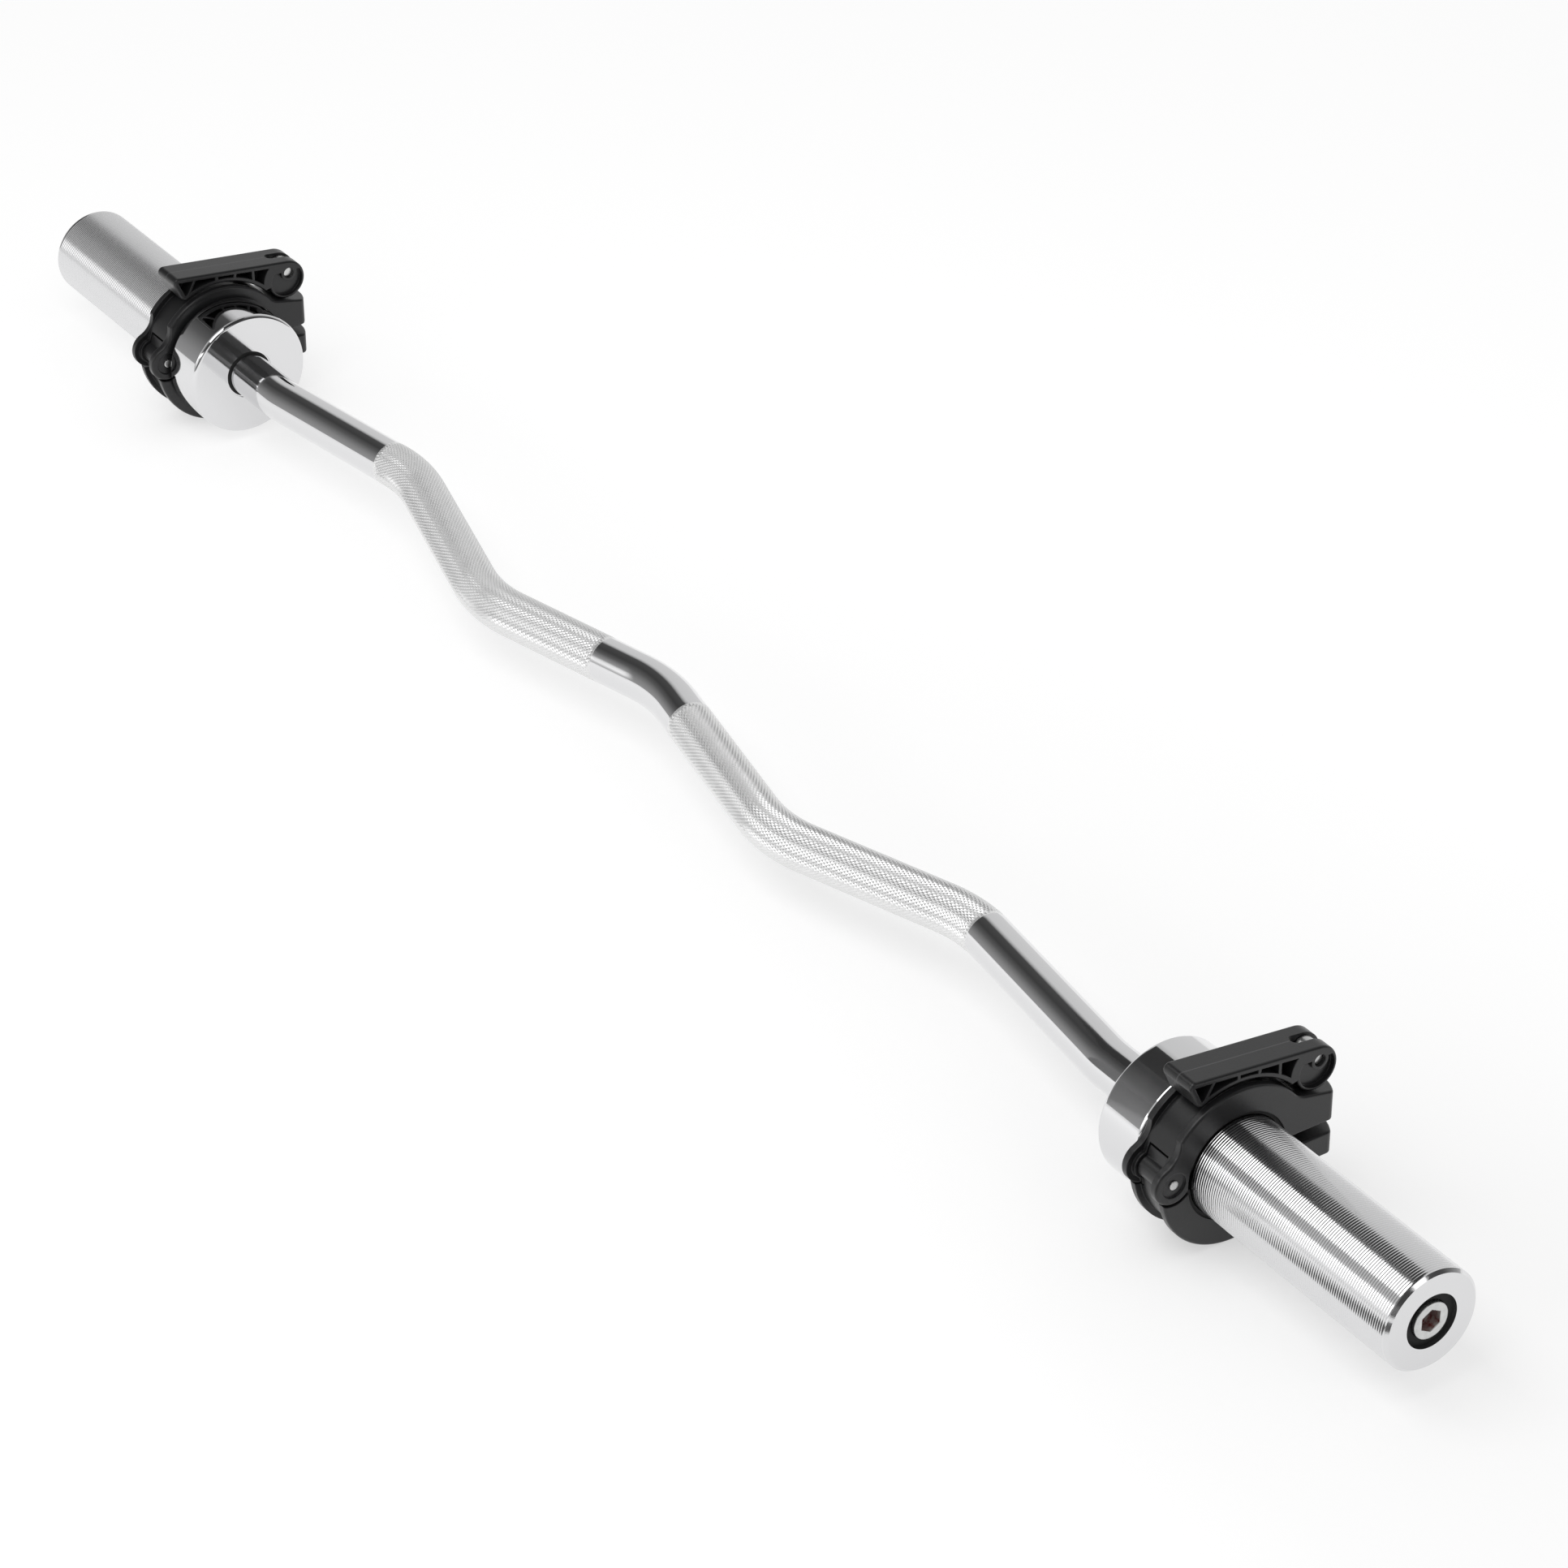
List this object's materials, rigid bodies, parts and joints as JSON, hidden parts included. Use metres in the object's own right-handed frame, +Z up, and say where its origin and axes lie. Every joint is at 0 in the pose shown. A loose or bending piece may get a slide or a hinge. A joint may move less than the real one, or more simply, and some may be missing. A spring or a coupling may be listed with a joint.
{
  "type": "ez curl bar",
  "caption": "Cambered curl bar with knurled grips, turning plate sleeves with stop flanges, and hinged cam-lever collars that clamp on the sleeves.",
  "frame": {"origin": "on the floor under the middle of the bar's box", "axes": "+X along the bar to its right end, +Y across it away from the lever handles, +Z up"},
  "size_m": [1.2, 0.1009, 0.0915],
  "materials": {
    "knurled_chrome": "chrome plate over diamond knurl",
    "ridged_chrome": "chrome plate over fine turned ridges",
    "polished_chrome": "polished chrome plate",
    "plain_steel": "zinc plated steel",
    "bronze": "sintered bronze",
    "black_nylon": "moulded glass-filled nylon",
    "black_plastic": "moulded plastic",
    "black_rubber": "moulded rubber"
  },
  "bodies": {
    "shaft": {"shaft": "knurled_chrome", "left_thrust_washer": "plain_steel", "left_end_bolt": "plain_steel", "right_thrust_washer": "plain_steel", "right_end_bolt": "plain_steel"},
    "left_sleeve": {"left_sleeve": "ridged_chrome", "left_flange": "polished_chrome", "left_shaft_seal": "black_rubber", "left_inner_bush": "bronze", "left_outer_bush": "bronze", "left_end_ring": "black_plastic"},
    "left_collar": {"left_collar_upper_jaw": "black_nylon", "left_collar_upper_pad": "black_rubber", "left_collar_hinge_pin": "plain_steel"},
    "left_lower_jaw": {"left_collar_lower_jaw": "black_nylon", "left_collar_lower_pad": "black_rubber", "left_collar_draw_bolt": "plain_steel", "left_collar_bolt_nut": "plain_steel"},
    "left_lever": {"left_collar_lever": "black_nylon", "left_collar_lever_pin": "plain_steel"},
    "right_sleeve": {"right_sleeve": "ridged_chrome", "right_flange": "polished_chrome", "right_shaft_seal": "black_rubber", "right_inner_bush": "bronze", "right_outer_bush": "bronze", "right_end_ring": "black_plastic"},
    "right_collar": {"right_collar_upper_jaw": "black_nylon", "right_collar_upper_pad": "black_rubber", "right_collar_hinge_pin": "plain_steel"},
    "right_lower_jaw": {"right_collar_lower_jaw": "black_nylon", "right_collar_lower_pad": "black_rubber", "right_collar_draw_bolt": "plain_steel", "right_collar_bolt_nut": "plain_steel"},
    "right_lever": {"right_collar_lever": "black_nylon", "right_collar_lever_pin": "plain_steel"}
  },
  "joints": [
    {"name": "left_sleeve_spin", "type": "hinge", "parent": "shaft", "child": "left_sleeve", "pos_m": [-0.5, -0.00595, 0.04], "axis": [1, 0, 0], "continuous": true},
    {"name": "left_collar_slide", "type": "slide", "parent": "left_sleeve", "child": "left_collar", "axis": [-1, 0, 0], "range_m": [0, 0.125]},
    {"name": "left_jaw_hinge", "type": "hinge", "parent": "left_collar", "child": "left_lower_jaw", "pos_m": [-0.4575, -0.04045, 0.0435], "axis": [-1, 0, 0], "range_deg": [0, 2]},
    {"name": "left_lever_hinge", "type": "hinge", "parent": "left_lower_jaw", "child": "left_lever", "pos_m": [-0.4575, 0.03945, 0.07614], "axis": [-1, 0, 0], "range_deg": [0, 120]},
    {"name": "right_sleeve_spin", "type": "hinge", "parent": "shaft", "child": "right_sleeve", "pos_m": [0.5, -0.00595, 0.04], "axis": [1, 0, 0], "continuous": true},
    {"name": "right_collar_slide", "type": "slide", "parent": "right_sleeve", "child": "right_collar", "axis": [1, 0, 0], "range_m": [0, 0.125]},
    {"name": "right_jaw_hinge", "type": "hinge", "parent": "right_collar", "child": "right_lower_jaw", "pos_m": [0.4575, -0.04045, 0.0435], "axis": [-1, 0, 0], "range_deg": [0, 2]},
    {"name": "right_lever_hinge", "type": "hinge", "parent": "right_lower_jaw", "child": "right_lever", "pos_m": [0.4575, 0.03945, 0.07614], "axis": [-1, 0, 0], "range_deg": [0, 120]}
  ],
  "couplings": [
    {"joint": "left_jaw_hinge", "follows": "left_lever_hinge", "ratio": 0.0163},
    {"joint": "right_jaw_hinge", "follows": "right_lever_hinge", "ratio": 0.0163}
  ]
}
